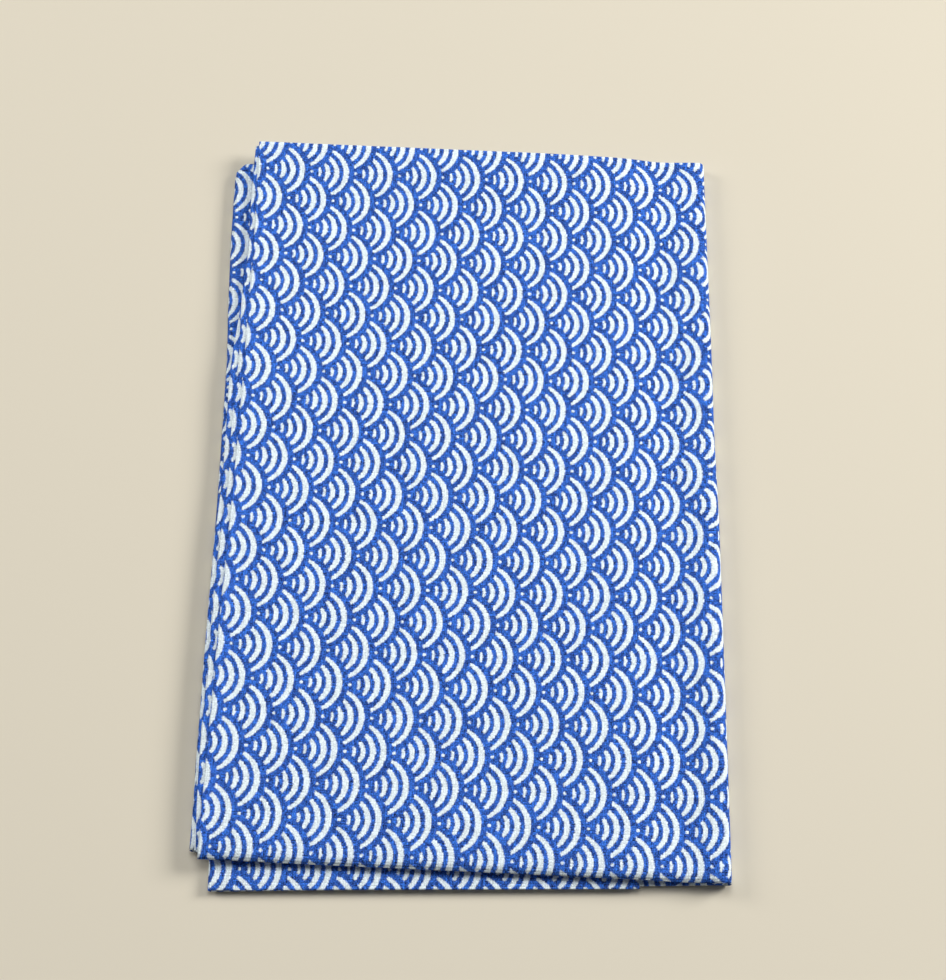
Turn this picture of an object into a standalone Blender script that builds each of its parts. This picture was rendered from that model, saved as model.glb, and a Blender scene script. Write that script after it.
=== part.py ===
"""Folded cotton hand cloth (tenugui), lying flat: one sheet, built in metres with +Z up.

The cloth was doubled twice along its length and then folded in three across its width. The solid
follows the last fold. Its section starts at the top panel's free edge on the left, goes to the
right fold, comes back as the base panel to the left fold, and ends as the flap, which is tucked
between the other two and stops short of the right fold.

The sheet's thickness stands for the four thin layers of cotton that the doubling laid together.
+X runs across the folded cloth to its right fold, and +Y runs along it, away from the viewer.
"""
import math
from dataclasses import dataclass

import bmesh
import bpy

# Layers of the folded cloth
SHEET_THICKNESS = 0.0012
LAYER_GAP = 0.0006
HALF_SHEET = SHEET_THICKNESS / 2
LAYER_PITCH = SHEET_THICKNESS + LAYER_GAP
BASE_HEIGHT = HALF_SHEET
FLAP_HEIGHT = BASE_HEIGHT + LAYER_PITCH
TOP_HEIGHT = FLAP_HEIGHT + LAYER_PITCH

# Where the top panel settles past the flap's free edge, before it rises a little to the right fold
SETTLE_START = 0.0015
SETTLE_LENGTH = 0.0130
SETTLE_DROP = 0.0009

# Low, soft waves of the top panel, upwards only, so that its layers stay apart
WAVE_HEIGHT = 0.00025
WAVE_LENGTH_X = 0.0620
WAVE_LENGTH_Y = 0.0870

# Grid of the unfolded sheet: columns along the section, and rows between two stations
TOP_COLUMNS = 22
RIGHT_COLUMNS = 7
BASE_COLUMNS = 9
LEFT_COLUMNS = 7
FLAP_COLUMNS = 13
ROWS_BETWEEN_STATIONS = 2

# The dyed cotton's mean colour, as linear RGB
COTTON_COLOUR = (0.17, 0.26, 0.62, 1.0)
COTTON_ROUGHNESS = 0.9


@dataclass(frozen=True)
class Station:
    """The outer lines of the folds and free edges, at one height of the folded cloth."""

    height: float      # fraction of the way from the near end to the far end
    free_edge: float   # x of the top panel's free left edge
    right_fold: float  # x of the outside of the right fold
    left_fold: float   # x of the outside of the left fold
    flap_edge: float   # x of the flap's free right edge


STATIONS = (
    Station(0.000, -0.06385, 0.07000, -0.06065, 0.0470),
    Station(0.030, -0.06370, 0.06990, -0.06070, 0.0468),
    Station(0.047, -0.06355, 0.06985, -0.06615, 0.0467),
    Station(0.075, -0.06325, 0.06970, -0.06620, 0.0465),
    Station(0.160, -0.06290, 0.06930, -0.06650, 0.0458),
    Station(0.270, -0.06250, 0.06875, -0.06670, 0.0450),
    Station(0.380, -0.06220, 0.06825, -0.06680, 0.0442),
    Station(0.470, -0.06275, 0.06770, -0.06690, 0.0436),
    Station(0.600, -0.06240, 0.06695, -0.06730, 0.0426),
    Station(0.720, -0.06195, 0.06595, -0.06810, 0.0418),
    Station(0.800, -0.06260, 0.06535, -0.06900, 0.0412),
    Station(0.880, -0.06300, 0.06490, -0.06970, 0.0406),
    Station(0.960, -0.06300, 0.06450, -0.07000, 0.0400),
    Station(0.985, -0.06340, 0.06440, -0.06990, 0.0398),
    Station(1.000, -0.06365, 0.06430, -0.06680, 0.0397),
)


@dataclass(frozen=True)
class PanelEnds:
    """The near and far ends (y) of one panel, at the first and last column of its section."""

    near_first: float
    near_last: float
    far_first: float
    far_last: float


TOP_ENDS = PanelEnds(-0.1014, -0.1024, 0.1084, 0.1083)
BASE_ENDS = PanelEnds(-0.1022, -0.1082, 0.1080, 0.1027)
FLAP_ENDS = PanelEnds(-0.1086, -0.1041, 0.1027, 0.1045)


def mix(first, last, share):
    """Returns the value that lies the given share of the way from first to last."""
    return first + (last - first) * share


def smooth_step(share):
    """Returns a share from 0 to 1 with a soft start and end."""
    share = min(max(share, 0.0), 1.0)
    return share * share * (3.0 - 2.0 * share)


def station_at(height):
    """Returns the fold lines at a height, between the stations of the table."""
    for lower, upper in zip(STATIONS, STATIONS[1:]):
        if height <= upper.height:
            share = (height - lower.height) / (upper.height - lower.height)
            return Station(
                height,
                mix(lower.free_edge, upper.free_edge, share),
                mix(lower.right_fold, upper.right_fold, share),
                mix(lower.left_fold, upper.left_fold, share),
                mix(lower.flap_edge, upper.flap_edge, share),
            )
    return STATIONS[-1]


def row_heights():
    """Lists the heights of the grid's rows, evenly spaced between each two stations."""
    heights = [STATIONS[0].height]
    for lower, upper in zip(STATIONS, STATIONS[1:]):
        for row in range(1, ROWS_BETWEEN_STATIONS + 1):
            heights.append(mix(lower.height, upper.height, row / ROWS_BETWEEN_STATIONS))
    return heights


def top_panel_height(x, y, flap_edge):
    """Returns the top panel's middle height: flat over the flap, lower past the flap's edge."""
    settled = SETTLE_DROP * smooth_step((x - flap_edge - SETTLE_START) / SETTLE_LENGTH)
    wave = math.sin(math.tau * x / WAVE_LENGTH_X + math.pi * y / WAVE_LENGTH_Y)
    calm = 1.0 - smooth_step((x - flap_edge) / SETTLE_LENGTH)
    return TOP_HEIGHT - settled + WAVE_HEIGHT * calm * (0.5 + 0.5 * wave)


def top_point(share, height):
    """A point of the top panel, from its free edge to the right fold."""
    line = station_at(height)
    x = mix(line.free_edge, right_centre(line), share)
    y = mix(mix(TOP_ENDS.near_first, TOP_ENDS.near_last, share),
            mix(TOP_ENDS.far_first, TOP_ENDS.far_last, share), height)
    return x, y, top_panel_height(x, y, line.flap_edge)


def right_radius():
    """Returns the radius of the right fold's middle surface."""
    return (TOP_HEIGHT - SETTLE_DROP - BASE_HEIGHT) / 2


def right_centre(line):
    """Returns the x of the right fold's centre."""
    return line.right_fold - HALF_SHEET - right_radius()


def right_point(share, height):
    """A point of the right fold, from the top panel round to the base panel."""
    line = station_at(height)
    angle = math.pi * share
    y = mix(mix(TOP_ENDS.near_last, BASE_ENDS.near_first, share),
            mix(TOP_ENDS.far_last, BASE_ENDS.far_first, share), height)
    return (right_centre(line) + right_radius() * math.sin(angle), y,
            BASE_HEIGHT + right_radius() * (1.0 + math.cos(angle)))


def left_radius():
    """Returns the radius of the left fold's middle surface."""
    return (FLAP_HEIGHT - BASE_HEIGHT) / 2


def left_centre(line):
    """Returns the x of the left fold's centre."""
    return line.left_fold + HALF_SHEET + left_radius()


def base_point(share, height):
    """A point of the base panel, from the right fold to the left fold."""
    line = station_at(height)
    y = mix(mix(BASE_ENDS.near_first, BASE_ENDS.near_last, share),
            mix(BASE_ENDS.far_first, BASE_ENDS.far_last, share), height)
    return mix(right_centre(line), left_centre(line), share), y, BASE_HEIGHT


def left_point(share, height):
    """A point of the left fold, from the base panel round to the flap."""
    line = station_at(height)
    angle = math.pi * share
    y = mix(mix(BASE_ENDS.near_last, FLAP_ENDS.near_first, share),
            mix(BASE_ENDS.far_last, FLAP_ENDS.far_first, share), height)
    return (left_centre(line) - left_radius() * math.sin(angle), y,
            BASE_HEIGHT + left_radius() * (1.0 - math.cos(angle)))


def flap_point(share, height):
    """A point of the flap, from the left fold to its free edge."""
    line = station_at(height)
    y = mix(mix(FLAP_ENDS.near_first, FLAP_ENDS.near_last, share),
            mix(FLAP_ENDS.far_first, FLAP_ENDS.far_last, share), height)
    return mix(left_centre(line), line.flap_edge, share), y, FLAP_HEIGHT


@dataclass(frozen=True)
class Zone:
    """One stretch of the section: how many columns it has and how it is placed."""

    columns: int
    place: object


ZONES = (
    Zone(TOP_COLUMNS, top_point),
    Zone(RIGHT_COLUMNS, right_point),
    Zone(BASE_COLUMNS, base_point),
    Zone(LEFT_COLUMNS, left_point),
    Zone(FLAP_COLUMNS, flap_point),
)


def folded_point(column, height):
    """Returns where a point of the unfolded grid lies once the cloth is folded."""
    for zone in ZONES:
        if column <= zone.columns:
            return zone.place(column / zone.columns, height)
        column -= zone.columns
    raise ValueError("the column lies past the flap's free edge")


def cotton_material():
    """Makes the dyed cotton."""
    material = bpy.data.materials.new("dyed_cotton")
    material.use_nodes = True
    shader = material.node_tree.nodes["Principled BSDF"]
    shader.inputs["Base Color"].default_value = COTTON_COLOUR
    shader.inputs["Roughness"].default_value = COTTON_ROUGHNESS
    shader.inputs["Metallic"].default_value = 0.0
    return material


def folded_sheet(name):
    """Makes a flat grid for the unfolded sheet and folds it point by point."""
    columns = sum(zone.columns for zone in ZONES)
    heights = row_heights()
    rows = len(heights) - 1
    sheet = bmesh.new()
    bmesh.ops.create_grid(sheet, x_segments=columns, y_segments=rows, size=0.5)
    for vertex in sheet.verts:
        column = round((vertex.co.x + 0.5) * columns)
        row = round((vertex.co.y + 0.5) * rows)
        vertex.co = folded_point(column, heights[row])
    mesh = bpy.data.meshes.new(name)
    sheet.to_mesh(mesh)
    sheet.free()
    return mesh


def build_towel(collection):
    """Builds the towel: the folded sheet, thickened evenly to both sides."""
    towel = bpy.data.objects.new("towel", folded_sheet("towel"))
    collection.objects.link(towel)
    towel.data.materials.append(cotton_material())
    towel.data.shade_smooth()
    thickness = towel.modifiers.new("sheet_thickness", "SOLIDIFY")
    thickness.thickness = SHEET_THICKNESS
    thickness.offset = 0.0
    thickness.use_even_offset = True
    return towel


def main():
    """Clears the scene and builds the towel in its own collection."""
    for old in list(bpy.data.objects):
        bpy.data.objects.remove(old, do_unlink=True)
    collection = bpy.data.collections.new("tenugui_towel")
    bpy.context.scene.collection.children.link(collection)
    build_towel(collection)


main()
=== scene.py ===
"""Folded tenugui towel on a pale table: the visual model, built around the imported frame.

The towel is one long piece of printed cotton. It is doubled twice along its length, which lays four
plies on each other, and then folded in three across its width. The sheet here follows both foldings,
so it shows twelve layers at its ends. Lengths in the tables are in millimetres, in the row frame:
+X across to the right fold, +Y along to the far end, +Z up.
"""
from __future__ import annotations

import logging
import math
from dataclasses import dataclass
from enum import Enum

import bpy
import numpy as np
from mathutils import Matrix, Vector

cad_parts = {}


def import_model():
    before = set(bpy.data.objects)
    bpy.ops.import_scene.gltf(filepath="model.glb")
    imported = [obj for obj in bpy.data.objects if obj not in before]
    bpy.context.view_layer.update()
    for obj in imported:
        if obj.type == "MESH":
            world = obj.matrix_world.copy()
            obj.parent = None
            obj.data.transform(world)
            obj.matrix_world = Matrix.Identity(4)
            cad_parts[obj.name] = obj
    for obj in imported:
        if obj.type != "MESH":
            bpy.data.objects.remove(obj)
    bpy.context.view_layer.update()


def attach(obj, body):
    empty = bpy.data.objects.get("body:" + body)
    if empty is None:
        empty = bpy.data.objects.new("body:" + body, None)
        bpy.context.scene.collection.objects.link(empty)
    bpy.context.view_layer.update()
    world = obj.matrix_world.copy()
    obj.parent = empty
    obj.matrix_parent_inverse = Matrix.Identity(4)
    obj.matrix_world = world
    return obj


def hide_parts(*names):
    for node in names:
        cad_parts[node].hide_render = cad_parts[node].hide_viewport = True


log = logging.getLogger("tenugui_towel")

MM = 0.001
Table = tuple[tuple[float, float], ...]
Amount = float | np.ndarray
Colour = tuple[float, float, float, float]


def look_up(table: Table, where: np.ndarray) -> np.ndarray:
    """Reads a table of (place, value) rows at the given places.

    Args:
        table: Rows in rising order of their place.
        where: The places, in millimetres.

    Returns:
        The values between the rows, in millimetres.
    """
    places, values = zip(*table)
    return np.interp(where, places, values)


def mix(first: Amount, last: Amount, share: Amount) -> Amount:
    """Returns the value that lies the given share of the way from first to last."""
    return first + (last - first) * share


def smooth_step(share: np.ndarray) -> np.ndarray:
    """Returns shares from 0 to 1 with a soft start and end."""
    share = np.clip(share, 0.0, 1.0)
    return share * share * (3.0 - 2.0 * share)


class Panel(Enum):
    """The stretches of the section across the folded cloth, from the top panel's free edge on."""

    TOP = "top panel"
    RIGHT = "right fold"
    BASE = "base panel"
    LEFT = "left fold"
    FLAP = "flap"


@dataclass(frozen=True)
class Row:
    """One row of the sheet's grid, at one place along the cloth's length."""

    ply: int          # the ply that the row lies in, or leaves; 0 is the outermost of the four
    next_ply: int     # the ply that it reaches, on a loop between two plies
    turn: float       # how far round that loop, from 0 to 1
    share: float      # from 0 at the near end to 1 at the far end


@dataclass(frozen=True)
class Seigaiha:
    """The wave print: rings in scales that overlap from the left, in millimetres from a scale's root."""

    across: float = 12.458
    along: float = 17.96
    root_x: float = -2.70
    root_y: float = -0.30
    # each ring's outer circle and inner circle, as centre on the scale's axis and radius
    rings: tuple[tuple[float, float, float, float], ...] = (
        (2.15, 7.99, 0.95, 7.64),
        (1.42, 6.00, 0.11, 5.80),
        (0.89, 3.92, -1.20, 4.69),
        (-0.19, 2.57, -2.60, 4.14),
    )
    thinning: float = 0.04     # how much narrower the dye leaves each ring, on either side
    dot_centre: float = -0.42
    dot_radius: float = 0.40
    neighbour_radius: float = 9.60
    tip_softness: float = 0.35
    lead: float = 0.9          # how far before its root a scale begins

    def nearest_repeat(self, across: float, along: float) -> tuple[float, float]:
        """Finds the shift of the print onto itself that is nearest to a wanted one.

        Args:
            across: The wanted shift across the cloth.
            along: The wanted shift along the cloth.

        Returns:
            The shift across and along.
        """
        shifts = []
        for half in (0.0, 0.5):
            shifts.append(((round(across / self.across - half) + half) * self.across,
                           (round(along / self.along - half) + half) * self.along))
        return min(shifts, key=lambda shift: math.dist(shift, (across, along)))


@dataclass(frozen=True)
class Stray:
    """One term of the print's straying: amounts in millimetres, times powers of x and y in decimetres."""

    x_power: int
    y_power: int
    across: float
    along: float


@dataclass
class FoldedTowel:
    """The one piece of cloth, folded."""

    print_: Seigaiha
    flat_width: float = 0.375
    flat_length: float = 0.84
    cloth: float = 0.26        # thickness of the cotton
    pitch: float = 0.40        # from one ply's middle to the next
    base_middle: float = 0.76  # middle heights of the three stacks of four plies
    flap_middle: float = 2.38
    top_middle: float = 4.20
    inner_loop_gap: float = 0.9

    # the top panel's low relief: raised along its folds and selvedge, sunk past the flap and at the near end
    valley_depth: float = 0.95
    valley_share: float = 0.52  # of the way from the flap's edge to the right fold
    valley_width: float = 6.5
    left_rise: float = 0.55
    left_rise_length: float = 30.0
    right_drop: float = 0.12    # how much lower the right fold lies than the middle
    right_drop_length: float = 22.0
    far_rise: float = 1.10
    far_rise_length: float = 26.0
    right_end_share: float = -0.30  # of the rise and droop at the ends that reaches the right fold
    end_turns_at: float = 14.0  # x from which that share sets in
    near_droop: float = 0.24
    near_droop_length: float = 16.0
    wave_height: float = 0.16
    # the low waves, each as its length over a radian across and along, and its phase
    low_waves: tuple[tuple[float, float, float], ...] = ((11.0, 27.0, 0.0), (19.0, -15.0, 1.3))
    calm_margin: float = 3.0    # how close to the right fold the valley and the end's curl fade out
    curl_length: float = 1.6
    curl_drop: float = 0.14
    end_curl_length: float = 1.8
    end_curl_drop: float = 0.50
    edge_squeeze: float = 0.28  # how much closer the plies lie at the selvedges
    edge_squeeze_length: float = 10.0
    fold_fullness: float = 1.5  # 1 for a round fold, more for a flatter, pressed one

    # x of the outermost ply's lines against y
    free_edge: Table = ((-101.5, -63.5), (-86.0, -63.5), (-50.0, -63.3), (-32.0, -63.1), (-15.0, -62.8),
                        (10.0, -62.55), (35.0, -62.5), (57.0, -62.8), (73.0, -62.65), (92.0, -63.4),
                        (108.4, -63.6))
    right_fold: Table = ((-101.0, 70.0), (-70.0, 69.35), (-3.0, 67.8), (20.0, 66.8), (51.0, 66.1),
                         (67.0, 65.6), (108.2, 64.4))
    left_fold: Table = ((-98.7, -66.0), (-86.0, -66.1), (-75.0, -66.4), (-13.0, -66.85), (-4.2, -66.9),
                        (39.5, -67.75), (55.0, -68.7), (77.7, -69.7), (94.3, -70.05), (99.5, -70.05),
                        (101.6, -69.0), (102.7, -66.7))
    left_fold_inner: Table = ((-108.7, -60.6), (-100.0, -60.9), (99.0, -68.7), (100.6, -67.6),
                              (101.6, -66.6), (102.7, -65.0))
    flap_edge: Table = ((-104.1, 47.0), (104.8, 39.7))
    # how far each ply's selvedge sticks out under the top panel's free edge, against y
    edge_steps: tuple[Table, ...] = (
        ((0.0, 0.0),),
        ((-100.0, 0.55), (-86.0, 1.4), (-70.0, 1.95), (-50.0, 1.85), (-32.0, 2.25), (-15.0, 2.15), (2.0, 1.4),
         (21.0, 2.1), (40.0, 1.55), (57.0, 2.1), (73.0, 1.45), (93.0, 1.3), (108.0, 0.9)),
        ((-100.0, 0.9), (-86.0, 1.7), (-70.0, 2.5), (-50.0, 3.05), (-32.0, 3.35), (-15.0, 3.65), (2.0, 3.15),
         (21.0, 3.5), (32.0, 3.9), (40.0, 3.5), (48.0, 2.8), (57.0, 1.9), (108.0, 0.9)),
        ((-100.0, 1.0), (0.0, 1.6), (108.0, 0.0)),
    )
    # y of the ends of the plies along the section: (panel's first end, panel's last end)
    free_end_top: tuple[float, float] = (-101.5, -102.4)
    free_end_base: tuple[float, float] = (-101.9, -98.7)
    free_end_flap: tuple[float, float] = (-98.7, -94.0)
    near_loop_top: tuple[float, float] = (-99.3, -99.6)
    near_loop_base: tuple[float, float] = (-102.1, -108.8)
    near_loop_flap: tuple[float, float] = (-108.7, -104.1)
    far_top: tuple[float, float] = (108.55, 108.2)
    far_base: tuple[float, float] = (108.2, 102.7)
    far_flap: tuple[float, float] = (102.7, 104.8)
    second_free_end_step: float = 1.8

    # places of scale roots seen on each ply: on the top panel (y only), and on the flap, which lies turned
    top_root_y: tuple[float, ...] = (-0.30, 9.48, 1.60)
    flap_roots: tuple[tuple[float, float], ...] = ((-68.05, 84.5), (-52.6, -103.0), (-52.6, -103.0))
    flap_turn: float = 2.0
    mean_far: float = 107.5
    mean_near: float = -102.5
    # how far the print strays from a straight grid on the top panel, because the weave is bowed
    strays: tuple[Stray, ...] = (
        Stray(0, 0, 0.07, -0.36),
        Stray(1, 0, -0.08, 0.21),
        Stray(0, 1, -0.17, 0.07),
        Stray(2, 0, -0.50, 1.30),
        Stray(1, 1, -0.28, -0.21),
        Stray(0, 2, -0.65, 0.45),
        Stray(3, 0, 0.15, -0.80),
        Stray(2, 1, 0.10, -0.23),
        Stray(1, 2, 0.45, -0.38),
        Stray(4, 0, 0.0, 3.60),
        Stray(2, 2, 0.0, -1.15),
        Stray(0, 4, -0.35, 0.0),
    )

    # columns of the grid in each stretch of the section
    top_columns: int = 66
    fold_columns: int = 10
    base_columns: int = 28
    flap_columns: int = 30
    # close columns at the selvedges: their places from the edge, and the panel's rough width
    edge_steps_fine: tuple[float, ...] = (0.0, 0.4, 0.9, 1.6)
    rough_width: float = 128.0
    # rows of the grid in each stretch along the length
    first_rows: int = 98
    hidden_rows: int = 34
    loop_rows: int = 6

    def columns(self) -> list[tuple[Panel, float]]:
        """Lists the grid's columns, each as its stretch of the section and the share of the way along it."""
        fine = [step / self.rough_width for step in self.edge_steps_fine]
        top = fine + [mix(fine[-1], 1.0, i / self.top_columns) for i in range(1, self.top_columns + 1)]
        flap = [1.0 - share for share in reversed(fine)]
        flap = [mix(0.0, flap[0], i / self.flap_columns) for i in range(1, self.flap_columns)] + flap
        turn = [i / self.fold_columns for i in range(1, self.fold_columns + 1)]
        base = [i / self.base_columns for i in range(1, self.base_columns + 1)]
        listed = [(Panel.TOP, top), (Panel.RIGHT, turn), (Panel.BASE, base), (Panel.LEFT, turn),
                  (Panel.FLAP, flap)]
        return [(panel, share) for panel, shares in listed for share in shares]

    def rows(self) -> list[Row]:
        """Lists the grid's rows, from the outermost ply's free end to the other free end."""
        listed = [Row(0, 0, 0.0, i / self.first_rows) for i in range(self.first_rows + 1)]
        turns = [i / self.loop_rows for i in range(1, self.loop_rows + 1)]
        straight = [i / self.hidden_rows for i in range(1, self.hidden_rows + 1)]
        listed += [Row(0, 3, turn, 1.0) for turn in turns]
        listed += [Row(3, 3, 0.0, 1.0 - share) for share in straight]
        listed += [Row(3, 2, turn, 0.0) for turn in turns]
        listed += [Row(2, 2, 0.0, share) for share in straight]
        listed += [Row(2, 1, turn, 1.0) for turn in turns]
        listed += [Row(1, 1, 0.0, 1.0 - share) for share in straight]
        return listed

    def end_line(self, top: tuple, base: tuple, flap: tuple, panel: Panel, share: float) -> float:
        """Returns the y of an end of the plies at one column of the section."""
        if panel is Panel.TOP:
            return mix(top[0], top[1], share)
        if panel is Panel.RIGHT:
            return mix(top[1], base[0], share)
        if panel is Panel.BASE:
            return mix(base[0], base[1], share)
        if panel is Panel.LEFT:
            return mix(base[1], flap[0], share)
        return mix(flap[0], flap[1], share)

    def ply_ends(self, ply: int, panel: Panel, share: float) -> tuple[float, float]:
        """Returns the near and far end of one ply's straight part at one column of the section."""
        free = self.end_line(self.free_end_top, self.free_end_base, self.free_end_flap, panel, share)
        loop = self.end_line(self.near_loop_top, self.near_loop_base, self.near_loop_flap, panel, share)
        far = self.end_line(self.far_top, self.far_base, self.far_flap, panel, share)
        outer_loop = 1.5 * self.pitch + self.cloth / 2
        near_loop = 0.5 * self.pitch + self.cloth / 2
        if ply == 0:
            return free, far - outer_loop
        if ply == 3:
            return loop + near_loop, far - outer_loop
        if ply == 2:
            return loop + near_loop, far - outer_loop - self.inner_loop_gap
        return free + self.second_free_end_step, far - outer_loop - self.inner_loop_gap

    def lay(self) -> tuple[np.ndarray, np.ndarray]:
        """Works out where each point of the grid lies, and its place on the flat cloth.

        Returns:
            Two arrays over (row, column): points (x, y, z) and print places (u, v), in millimetres.
        """
        columns = self.columns()
        rows = self.rows()
        panels = np.array([panel.value for panel, share in columns])
        shares = np.array([share for panel, share in columns])
        ends = np.array([[self.ply_ends(ply, panel, share) for panel, share in columns] for ply in range(4)])

        points = np.zeros((len(rows), len(columns), 3))
        places = np.zeros((len(rows), len(columns), 2))
        for index, row in enumerate(rows):
            first = self.lay_row(row.ply, row.share, ends, panels, shares)
            last = self.lay_row(row.next_ply, row.share, ends, panels, shares)
            x, y, u, v = (mix(a, b, row.turn) for a, b in zip(first, last))
            middle = (row.ply + row.next_ply) / 2
            half = (row.next_ply - row.ply) / 2
            level = middle - half * math.cos(math.pi * row.turn)
            reach = abs(half) * self.pitch * math.sin(math.pi * row.turn)
            y = y + (reach if row.share > 0.5 else -reach)
            points[index] = self.fold(x, y, level, panels, shares)
            places[index] = np.stack([u, v], axis=1)
        return points, places

    def lay_row(self, ply: int, share: float, ends: np.ndarray, panels: np.ndarray,
                shares: np.ndarray) -> tuple[np.ndarray, ...]:
        """Works out one ply's row: its fold lines in x, its y, and its print places."""
        y = mix(ends[ply, :, 0], ends[ply, :, 1], share)
        free, right, left, flap = self.fold_lines(ply, y)
        x = np.select(
            [panels == Panel.TOP.value, panels == Panel.RIGHT.value, panels == Panel.BASE.value,
             panels == Panel.LEFT.value],
            [mix(free, right, shares), right, mix(right, left, shares), left],
            mix(left, flap, shares))
        if ply == 3:
            near = self.lay_row(2, 0.0, ends, panels, shares)
            far = self.lay_row(0, 1.0, ends, panels, shares)
            loop = math.pi * self.pitch / 2
            return x, y, mix(near[2], far[2], share), mix(near[3] - loop, far[3] + 3 * loop, share)
        u, v = self.print_places(ply, x, y, panels, shares)
        return x, y, u, v

    def fold_lines(self, ply: int, y: np.ndarray) -> tuple[np.ndarray, ...]:
        """Returns one ply's lines in x: its free edge, the right and left fold's centre, the flap's edge."""
        free = look_up(self.free_edge, y) - look_up(self.edge_steps[ply], y)
        right = look_up(self.right_fold, y) - self.right_radius(y) - 1.5 * self.pitch - self.cloth / 2
        if ply < 2:
            left = look_up(self.left_fold, y) + self.left_radius() + 1.5 * self.pitch + self.cloth / 2
        else:
            left = look_up(self.left_fold_inner, y) + self.left_radius() - 0.5 * self.pitch + self.cloth / 2
        return free, right, left, look_up(self.flap_edge, y)

    def right_radius(self, y: np.ndarray) -> np.ndarray:
        """Returns the radius of the middle of the right fold's four plies."""
        top = self.top_middle - self.right_drop + self.right_end_share * self.end_rise(y)
        return (top - self.base_middle) / 2

    def left_radius(self) -> float:
        """Returns the radius of the middle of the left fold's four plies."""
        return (self.flap_middle - self.base_middle) / 2

    def print_places(self, ply: int, x: np.ndarray, y: np.ndarray, panels: np.ndarray,
                     shares: np.ndarray) -> tuple[np.ndarray, np.ndarray]:
        """Works out where one ply's row lies on the print, measured from a scale's root.

        The top panel and the flap have their own places, seen in the photo. The base panel, which is
        hidden, takes up what is left between the two.

        Args:
            ply: The ply, 0, 1 or 2.
            x: The place on a flat stretch, or the centre of a fold.
            y: The place along the cloth.
            panels: Each column's stretch of the section.
            shares: Each column's share of the way along that stretch.

        Returns:
            The print's places across and along.
        """
        outward = (1.5 - ply) * self.pitch
        right_turn = math.pi * (self.right_radius(y) + outward)
        left_turn = math.pi * (self.left_radius() + outward)
        _, right, left, _ = self.fold_lines(ply, y)
        on_top = np.select([panels == Panel.TOP.value, panels == Panel.RIGHT.value],
                           [x, right + right_turn * shares], right + right_turn)
        on_flap = np.select([panels == Panel.FLAP.value, panels == Panel.LEFT.value],
                            [x, left - left_turn * (1.0 - shares)], left - left_turn)
        top_u, top_v = self.top_place(ply, on_top, y)
        flap_u, flap_v = self.flap_place(ply, on_flap, y)

        far_along = np.select([panels == Panel.TOP.value, panels == Panel.RIGHT.value,
                               panels == Panel.BASE.value], [0.0, 0.0, shares], 1.0)
        halfway = np.zeros(1)
        _, right, left, _ = self.fold_lines(ply, halfway)
        turns = math.pi * (self.right_radius(halfway) + self.left_radius() + 2 * outward)
        natural_u = self.top_place(ply, right, halfway)[0] + turns + right - left
        natural_v = self.top_place(ply, right, halfway)[1]
        seen_u, seen_v = self.flap_place(ply, left, halfway)
        shift_u, shift_v = self.print_.nearest_repeat((natural_u - seen_u)[0], (natural_v - seen_v)[0])
        return mix(top_u, flap_u + shift_u, far_along), mix(top_v, flap_v + shift_v, far_along)

    def top_place(self, ply: int, x: np.ndarray, y: np.ndarray) -> tuple[np.ndarray, np.ndarray]:
        """Returns where a point of the top panel lies on the print, on one ply."""
        along = {0: 0.0, 1: 4 * self.mean_far - 2 * self.mean_near, 2: 2 * (self.mean_far - self.mean_near)}
        across_stray, along_stray = self.stray_at(x, y)
        across = x - across_stray - self.print_.root_x + look_up(self.edge_steps[ply], y)
        sign = -1.0 if ply == 1 else 1.0
        start = self.print_.along * round(along[ply] / self.print_.along)
        return across, start + sign * (y - along_stray - self.top_root_y[ply])

    def stray_at(self, x: np.ndarray, y: np.ndarray) -> tuple[np.ndarray, np.ndarray]:
        """Returns how far the print strays across and along, at points of the top panel."""
        decimetre = 100.0
        terms = [((x / decimetre) ** term.x_power * (y / decimetre) ** term.y_power, term) for term in self.strays]
        return sum(size * term.across for size, term in terms), sum(size * term.along for size, term in terms)

    def flap_place(self, ply: int, x: np.ndarray, y: np.ndarray) -> tuple[np.ndarray, np.ndarray]:
        """Returns where a point of the flap, which lies turned, is on the print, on one ply."""
        root_x, root_y = self.flap_roots[ply]
        turn = math.radians(self.flap_turn)
        across = (x - root_x) * math.cos(turn) + (y - root_y) * math.sin(turn)
        along = (y - root_y) * math.cos(turn) - (x - root_x) * math.sin(turn)
        return across, -along if ply == 1 else along

    def fold(self, x: np.ndarray, y: np.ndarray, level: float, panels: np.ndarray,
             shares: np.ndarray) -> np.ndarray:
        """Folds one row across the width.

        Args:
            x: The place on a flat stretch, or the centre of a fold.
            y: The place along the cloth.
            level: The ply, from 0 outside to 3 inside, or between two plies on a loop.
            panels: Each column's stretch of the section.
            shares: Each column's share of the way along that stretch.

        Returns:
            An array of points, in millimetres.
        """
        outward = (1.5 - level) * self.pitch
        angle = np.pi * shares
        right = self.right_radius(y) + outward
        left = self.left_radius() + outward
        right_height = self.base_middle + self.right_radius(y)
        left_height = self.base_middle + self.left_radius()
        fullness = 1.0 / self.fold_fullness
        folded_x = np.select([panels == Panel.RIGHT.value, panels == Panel.LEFT.value],
                             [x + right * np.sin(angle) ** fullness, x - left * np.sin(angle)], x)
        pressed = np.sign(np.cos(angle)) * np.abs(np.cos(angle)) ** fullness
        top = self.top_height(x, y, level) + outward * self.closeness(x, y)
        z = np.select(
            [panels == Panel.TOP.value, panels == Panel.RIGHT.value, panels == Panel.BASE.value,
             panels == Panel.LEFT.value],
            [top, right_height + right * pressed, np.full(x.shape, self.base_middle - outward),
             left_height - left * np.cos(angle)],
            np.full(x.shape, self.flap_middle + outward))
        return np.stack([folded_x, y, z], axis=1)

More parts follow.
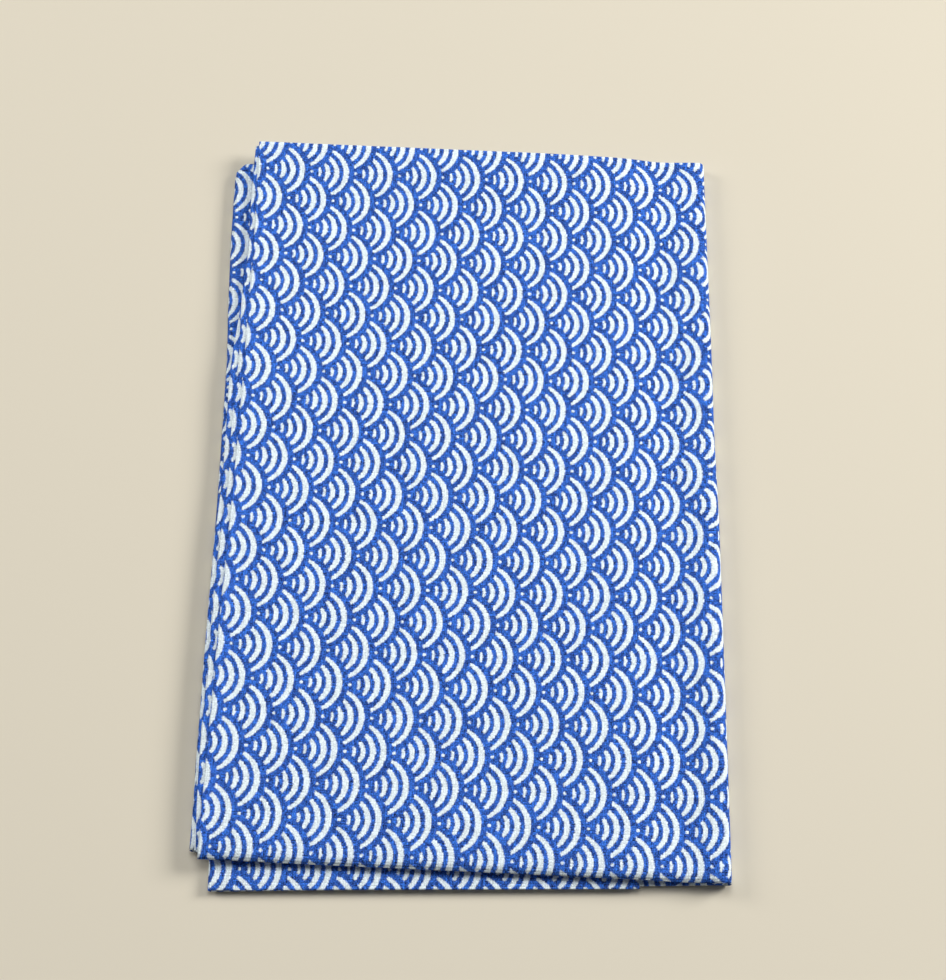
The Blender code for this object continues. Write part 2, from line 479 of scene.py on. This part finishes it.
    def end_rise(self, y: np.ndarray) -> np.ndarray:
        """Returns how far the top panel stands up along the fold at its far end, or droops at its near end."""
        from_far = (self.far_top[0] - y) / self.far_rise_length
        from_near = (y - self.free_end_top[0]) / self.near_droop_length
        return (self.far_rise * smooth_step(1.0 - from_far)
                - self.near_droop * smooth_step(1.0 - from_near))

    def closeness(self, x: np.ndarray, y: np.ndarray) -> np.ndarray:
        """Returns how close the top panel's plies lie, as a share of the usual step between them."""
        from_edge = (x - look_up(self.free_edge, y)) / self.edge_squeeze_length
        return 1.0 - self.edge_squeeze * smooth_step(1.0 - from_edge)

    def top_height(self, x: np.ndarray, y: np.ndarray, level: float) -> np.ndarray:
        """Returns the middle height of the top panel's plies: a shallow dish with low waves.

        Args:
            x: Places across the panel.
            y: Places along it.
            level: The ply, from 0 outside to 3 inside.

        Returns:
            Heights above the table, in millimetres.
        """
        free, right, _, flap = self.fold_lines(0, y)
        valley_x = mix(flap, right, self.valley_share)
        valley = self.valley_depth * np.exp(-((x - valley_x) / self.valley_width) ** 2)
        calm = smooth_step((right - x) / self.calm_margin)
        near_right = smooth_step(1.0 - (right - x) / self.right_drop_length)
        left_rise = self.left_rise * smooth_step(1.0 - (x - free) / self.left_rise_length)
        turned = smooth_step((x - self.end_turns_at) / (right - self.end_turns_at))
        ends = self.end_rise(y) * mix(1.0, self.right_end_share, turned)
        raised = np.where(ends > 0.0, np.hypot(left_rise, ends), left_rise + ends)
        wave = sum(np.sin(x / across + y / along + phase) for across, along, phase in self.low_waves)
        low_waves = self.wave_height * (1.0 - near_right) * (0.5 + 0.25 * wave)
        curl = self.curl_drop * np.clip(1.0 - (x - free) / self.curl_length, 0.0, 3.0) ** 1.5
        from_end = y - mix(self.free_end_top[0], self.free_end_top[1], (x - free) / (right - free))
        end_curl = self.end_curl_drop * np.clip(1.0 - from_end / self.end_curl_length, 0.0, 1.0) ** 1.5
        sunk = valley * calm + curl + (end_curl * calm if level == 0 else 0.0)
        return self.top_middle + raised + low_waves - self.right_drop * near_right - sunk

    def build(self) -> bpy.types.Object:
        """Builds the sheet: a grid, folded point by point, with the cotton's thickness."""
        points, places = self.lay()
        rows, columns = points.shape[:2]
        bpy.ops.object.select_all(action="DESELECT")
        bpy.ops.mesh.primitive_grid_add(x_subdivisions=columns - 1, y_subdivisions=rows - 1, size=1.0)
        towel = bpy.context.active_object
        towel.name = "folded_towel"
        towel.data.name = "folded_towel"
        flat = np.empty(len(towel.data.vertices) * 3)
        towel.data.vertices.foreach_get("co", flat)
        flat = flat.reshape(-1, 3)
        column = np.rint((flat[:, 0] + 0.5) * (columns - 1)).astype(int)
        row = np.rint((flat[:, 1] + 0.5) * (rows - 1)).astype(int)
        towel.data.vertices.foreach_set("co", (points[row, column] * MM).ravel())

        corners = np.empty(len(towel.data.loops), dtype=int)
        towel.data.loops.foreach_get("vertex_index", corners)
        flat_cloth = towel.data.uv_layers[0]
        flat_cloth.name = "flat_cloth"
        flat_cloth.data.foreach_set("uv", (places[row, column][corners] * MM).ravel())
        towel.data.update()

        bpy.ops.object.shade_smooth()
        thickness = towel.modifiers.new("cotton_thickness", "SOLIDIFY")
        thickness.thickness = self.cloth * MM
        thickness.offset = 0.0
        bpy.ops.object.modifier_apply(modifier=thickness.name)
        return towel


class Wire:
    """A value in a material's nodes that takes part in Python arithmetic."""

    def __init__(self, nodes: "NodeWorks", socket: bpy.types.NodeSocket) -> None:
        """Keeps the node works and the output socket that holds the value."""
        self.nodes = nodes
        self.socket = socket

    def maths(self, operation: str, *others: "Wire | float") -> "Wire":
        """Adds a Math node on this value and the others, and returns its result."""
        return self.nodes.add("ShaderNodeMath", {"operation": operation}, dict(enumerate((self, *others))))

    def __add__(self, other: "Wire | float") -> "Wire":
        """Returns the sum."""
        return self.maths("ADD", other)

    __radd__ = __add__

    def __sub__(self, other: "Wire | float") -> "Wire":
        """Returns the difference."""
        return self.maths("SUBTRACT", other)

    def __rsub__(self, other: float) -> "Wire":
        """Returns the other value less this one."""
        return self.nodes.add("ShaderNodeMath", {"operation": "SUBTRACT"}, {0: other, 1: self})

    def __mul__(self, other: "Wire | float") -> "Wire":
        """Returns the product."""
        return self.maths("MULTIPLY", other)

    __rmul__ = __mul__

    def __truediv__(self, other: "Wire | float") -> "Wire":
        """Returns the quotient."""
        return self.maths("DIVIDE", other)

    def step(self, low: float, high: float) -> "Wire":
        """Returns 0 below low, 1 above high, and a soft ramp between them."""
        return self.nodes.add("ShaderNodeMapRange", {"interpolation_type": "SMOOTHSTEP"},
                              {"Value": self, "From Min": low, "From Max": high})


class NodeWorks:
    """The node tree of one material."""

    def __init__(self, name: str) -> None:
        """Makes an empty material with its output and Principled shader."""
        self.material = bpy.data.materials.new(name)
        self.material.use_nodes = True
        self.tree = self.material.node_tree
        self.shader = self.tree.nodes["Principled BSDF"]

    def add(self, kind: str, settings: dict | None = None, inputs: dict | None = None,
            output: str | int = 0) -> Wire:
        """Adds a node.

        Args:
            kind: The node's type.
            settings: The node's own settings, set first.
            inputs: Values or wires for its sockets, by name or number.
            output: The output to return.

        Returns:
            The output as a wire.
        """
        node = self.tree.nodes.new(kind)
        for name, value in (settings or {}).items():
            setattr(node, name, value)
        for name, value in (inputs or {}).items():
            self.join(value, node.inputs[name])
        return Wire(self, node.outputs[output])

    def join(self, value: object, socket: bpy.types.NodeSocket) -> None:
        """Links a wire to a socket, or sets the socket's own value."""
        if isinstance(value, Wire):
            self.tree.links.new(value.socket, socket)
        else:
            socket.default_value = value


@dataclass(frozen=True)
class DyedCotton:
    """Plain-woven cotton, printed with white waves on a blue ground."""

    print_: Seigaiha
    name: str = "dyed_cotton"
    deep_blue: Colour = (0.031, 0.077, 0.390, 1.0)
    bright_blue: Colour = (0.027, 0.140, 0.540, 1.0)
    white: Colour = (0.77, 0.86, 0.91, 1.0)
    roughness: float = 0.92
    specular: float = 0.2
    warp_pitch: float = 0.593   # in millimetres
    weft_pitch: float = 0.778
    edge_blur: float = 0.21
    weave_depth: float = 0.00010
    bump_strength: float = 0.7
    thread_pull: float = 0.22
    # fine unevenness: of the fibres (noise), of each crossing (speckle) and of the threads (slub); and painted
    # shade in the gaps between the threads (weave)
    noise_scale: float = 2700.0
    slub_scale: float = 1100.0
    edge_noise: float = 0.24
    edge_speckle: float = 0.12
    dye_slub: float = 1.0
    dye_speckle: float = 0.35
    grain_speckle: float = 0.80
    grain_noise: float = 4.0
    # painted shade: darker in the gaps between the threads, lighter on their crowns
    weave_gap_shade: float = 0.40
    grain_and_gap_shade_on_white: float = 0.24
    # painted highlight: the blue is painted lighter along the selvedge; where it starts and ends on the print, and
    # how much
    selvedge_start: float = -60.5
    selvedge_end: float = -53.0
    selvedge_highlight: float = 0.16

    def distance(self, x: Wire, y: Wire, centre_x: float, centre_y: float = 0.0) -> Wire:
        """Returns how far a place is from a point, in millimetres."""
        off_x = x - centre_x
        off_y = y - centre_y
        return (off_x * off_x + off_y * off_y).maths("SQRT")

    def scale_cover(self, x: Wire, y: Wire) -> Wire:
        """Returns how far inside a white ring a place is, in millimetres, from one row of scales.

        Args:
            x: The place along the scale's axis, from its root.
            y: The place across the axis, without sign.

        Returns:
            The depth inside the white, below 0 outside it.
        """
        wave = self.print_
        depths = [(outer_radius - self.distance(x, y, outer)).maths(
            "MINIMUM", self.distance(x, y, inner) - inner_radius)
            for outer, outer_radius, inner, inner_radius in wave.rings]
        rings = depths[0]
        for depth in depths[1:]:
            rings = rings.maths("MAXIMUM", depth)
        neighbour = wave.rings[0][0] - wave.across / 2
        cut = self.distance(x, y, neighbour, wave.along / 2) - wave.neighbour_radius
        cut_rings = rings.maths("SMOOTH_MIN", cut, wave.tip_softness) - wave.thinning
        return cut_rings.maths("MAXIMUM", wave.dot_radius - self.distance(x, y, wave.dot_centre))

    def white_depth(self, u: Wire, v: Wire) -> Wire:
        """Returns how far inside the white of the print a place is, in millimetres, below 0 on the blue.

        Args:
            u: The place across the print, in millimetres.
            v: The place along it.

        Returns:
            The depth from both rows of scales, which stand half a repeat apart.
        """
        wave = self.print_
        warp = self.on_threads(u, self.warp_pitch)
        weft = self.on_threads(v, self.weft_pitch)
        depths = []
        for half in (0.0, 0.5):
            x = (warp + (wave.lead - half * wave.across)).maths("WRAP", wave.across, 0.0) - wave.lead
            y = (weft + (0.5 - half) * wave.along).maths("WRAP", wave.along, 0.0)
            depths.append(self.scale_cover(x, (y - wave.along / 2).maths("ABSOLUTE")))
        return depths[0].maths("MAXIMUM", depths[1])

    def on_threads(self, place: Wire, pitch: float) -> Wire:
        """Returns a place drawn towards the middle of its thread, because the dye follows the threads."""
        thread = ((place / pitch).maths("FLOOR") + 0.5) * pitch
        return thread * self.thread_pull + place * (1.0 - self.thread_pull)

    def make(self) -> bpy.types.Material:
        """Makes the material."""
        nodes = NodeWorks(self.name)
        cloth = nodes.add("ShaderNodeUVMap", {"uv_map": "flat_cloth"})
        split = nodes.add("ShaderNodeSeparateXYZ", {}, {0: cloth})
        u = split * (1.0 / MM)
        v = Wire(nodes, split.socket.node.outputs[1]) * (1.0 / MM)

        warp = (u * (math.pi / self.warp_pitch)).maths("SINE")
        weft = (v * (math.pi / self.weft_pitch)).maths("SINE")
        weave = (warp * weft).maths("ABSOLUTE")

        crossing = nodes.add("ShaderNodeCombineXYZ", {}, {0: (u / self.warp_pitch).maths("FLOOR"),
                                                          1: (v / self.weft_pitch).maths("FLOOR")})
        speckle = nodes.add("ShaderNodeTexWhiteNoise", {"noise_dimensions": "2D"}, {"Vector": crossing})
        noise = nodes.add("ShaderNodeTexNoise", {}, {"Vector": cloth, "Scale": self.noise_scale, "Detail": 2.0})
        depth = self.white_depth(u, v) + (noise - 0.5) * self.edge_noise + (speckle - 0.5) * self.edge_speckle
        white = depth.step(-self.edge_blur, self.edge_blur)

        slub = nodes.add("ShaderNodeTexNoise", {}, {"Vector": cloth, "Scale": self.slub_scale, "Detail": 3.0})
        dye = (slub - 0.5) * self.dye_slub + (speckle - 0.5) * self.dye_speckle + 0.5
        blue = nodes.add("ShaderNodeMix", {"data_type": "RGBA", "clamp_factor": True},
                         {0: dye, 6: self.deep_blue, 7: self.bright_blue}, 2)
        colour = nodes.add("ShaderNodeMix", {"data_type": "RGBA"}, {0: white, 6: blue, 7: self.white}, 2)
        blue_part = 1.0 - white
        # painted highlight: lighter blue within the first few millimetres of the print from the selvedge
        pale = 1.0 - u.step(self.selvedge_start, self.selvedge_end)
        # random tone of fibres and crossings, plus painted shade from the weave term, which darkens the gaps
        # between threads
        grain_and_gap_shade = ((speckle - 0.5) * self.grain_speckle + (noise - 0.5) * self.grain_noise
                 + (weave - 4.0 / math.pi ** 2) * self.weave_gap_shade)
        grain_and_gap_shade_share = self.grain_and_gap_shade_on_white + blue_part * (1.0 - self.grain_and_gap_shade_on_white)
        # the blue is lightened there by the painted highlight along the selvedge
        shade = 1.0 + grain_and_gap_shade * grain_and_gap_shade_share + pale * blue_part * self.selvedge_highlight
        tone = nodes.add("ShaderNodeVectorMath", {"operation": "SCALE"}, {0: colour, 3: shade})
        nodes.join(tone, nodes.shader.inputs["Base Color"])
        nodes.join(self.roughness, nodes.shader.inputs["Roughness"])
        nodes.join(self.specular, nodes.shader.inputs["Specular IOR Level"])
        bump = nodes.add("ShaderNodeBump", {}, {"Height": weave + slub * 0.4, "Distance": self.weave_depth,
                                                "Strength": self.bump_strength})
        nodes.join(bump, nodes.shader.inputs["Normal"])
        return nodes.material


@dataclass(frozen=True)
class PaleTable:
    """The plain pale surface that the towel lies on."""

    name: str = "pale_table"
    colour: Colour = (0.665, 0.605, 0.487, 1.0)
    roughness: float = 0.75
    side: float = 6.0

    def build(self) -> bpy.types.Object:
        """Builds the surface and dresses it."""
        nodes = NodeWorks(self.name)
        nodes.join(self.colour, nodes.shader.inputs["Base Color"])
        nodes.join(self.roughness, nodes.shader.inputs["Roughness"])
        bpy.ops.object.select_all(action="DESELECT")
        bpy.ops.mesh.primitive_plane_add(size=self.side)
        table = bpy.context.active_object
        table.name = self.name
        table.data.materials.append(nodes.material)
        return table


@dataclass(frozen=True)
class Lamp:
    """One round area light that points at the towel."""

    name: str
    place: tuple[float, float, float]
    size: float
    power: float
    colour: tuple[float, float, float]

    def build(self) -> bpy.types.Object:
        """Makes the light."""
        lamp = bpy.data.lights.new(self.name, "AREA")
        lamp.shape = "DISK"
        lamp.size = self.size
        lamp.energy = self.power
        lamp.color = self.colour
        light = bpy.data.objects.new(self.name, lamp)
        turn = (-Vector(self.place)).to_track_quat("-Z", "Y").to_matrix().to_4x4()
        light.matrix_world = Matrix.Translation(self.place) @ turn
        bpy.context.scene.collection.objects.link(light)
        return light


@dataclass(frozen=True)
class Studio:
    """The camera at the photograph's place, and soft studio light."""

    place: tuple[float, float, float] = (0.00048, -0.23881, 0.54488)
    azimuth: float = 0.261
    elevation: float = 65.978
    roll: float = 2.503
    lens: float = 83.92
    sensor: float = 36.0
    nearest_seen: float = 0.01
    lamps: tuple[Lamp, ...] = (
        Lamp("right_light", (1.30, 0.50, 0.80), 0.70, 23.6, (1.0, 0.99, 0.97)),
        Lamp("left_light", (-1.30, 0.50, 0.80), 0.70, 9.3, (1.0, 0.99, 0.97)),
        Lamp("overhead_light", (0.0, 0.50, 1.50), 1.00, 10.9, (0.97, 0.99, 1.0)),
    )
    room_colour: Colour = (0.95, 0.97, 1.0, 1.0)
    room_strength: float = 0.12

    def camera(self) -> bpy.types.Object:
        """Makes the camera."""
        azimuth, elevation, roll = (math.radians(a) for a in (self.azimuth, self.elevation, self.roll))
        ahead = Vector((math.sin(azimuth) * math.cos(elevation), math.cos(azimuth) * math.cos(elevation),
                        -math.sin(elevation)))
        right = ahead.cross(Vector((0.0, 0.0, 1.0))).normalized()
        up = right.cross(ahead)
        side = right * math.cos(roll) + up * math.sin(roll)
        head = up * math.cos(roll) - right * math.sin(roll)
        turn = Matrix((side, head, -ahead)).transposed().to_4x4()
        lens = bpy.data.cameras.new("camera")
        lens.lens = self.lens
        lens.sensor_fit = "HORIZONTAL"
        lens.sensor_width = self.sensor
        lens.clip_start = self.nearest_seen
        camera = bpy.data.objects.new("camera", lens)
        camera.matrix_world = Matrix.Translation(self.place) @ turn
        bpy.context.scene.collection.objects.link(camera)
        bpy.context.scene.camera = camera
        return camera

    def build(self) -> None:
        """Sets up the camera, the lights and the surroundings."""
        self.camera()
        for lamp in self.lamps:
            lamp.build()
        world = bpy.data.worlds.new("soft_room")
        world.use_nodes = True
        surroundings = world.node_tree.nodes["Background"]
        surroundings.inputs["Color"].default_value = self.room_colour
        surroundings.inputs["Strength"].default_value = self.room_strength
        bpy.context.scene.world = world
        bpy.context.scene.view_settings.view_transform = "Standard"


def main() -> None:
    """Builds the towel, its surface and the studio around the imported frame."""
    logging.basicConfig(level=logging.INFO, format="%(name)s: %(message)s")
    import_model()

    Studio().build()
    table = PaleTable().build()

    wave = Seigaiha()
    form = FoldedTowel(wave)
    towel = form.build()
    towel.data.materials.append(DyedCotton(wave).make())
    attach(towel, "root")
    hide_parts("towel")
    log.info("%s: %d faces", towel.name, len(towel.data.polygons))


if __name__ == "__main__":
    main()
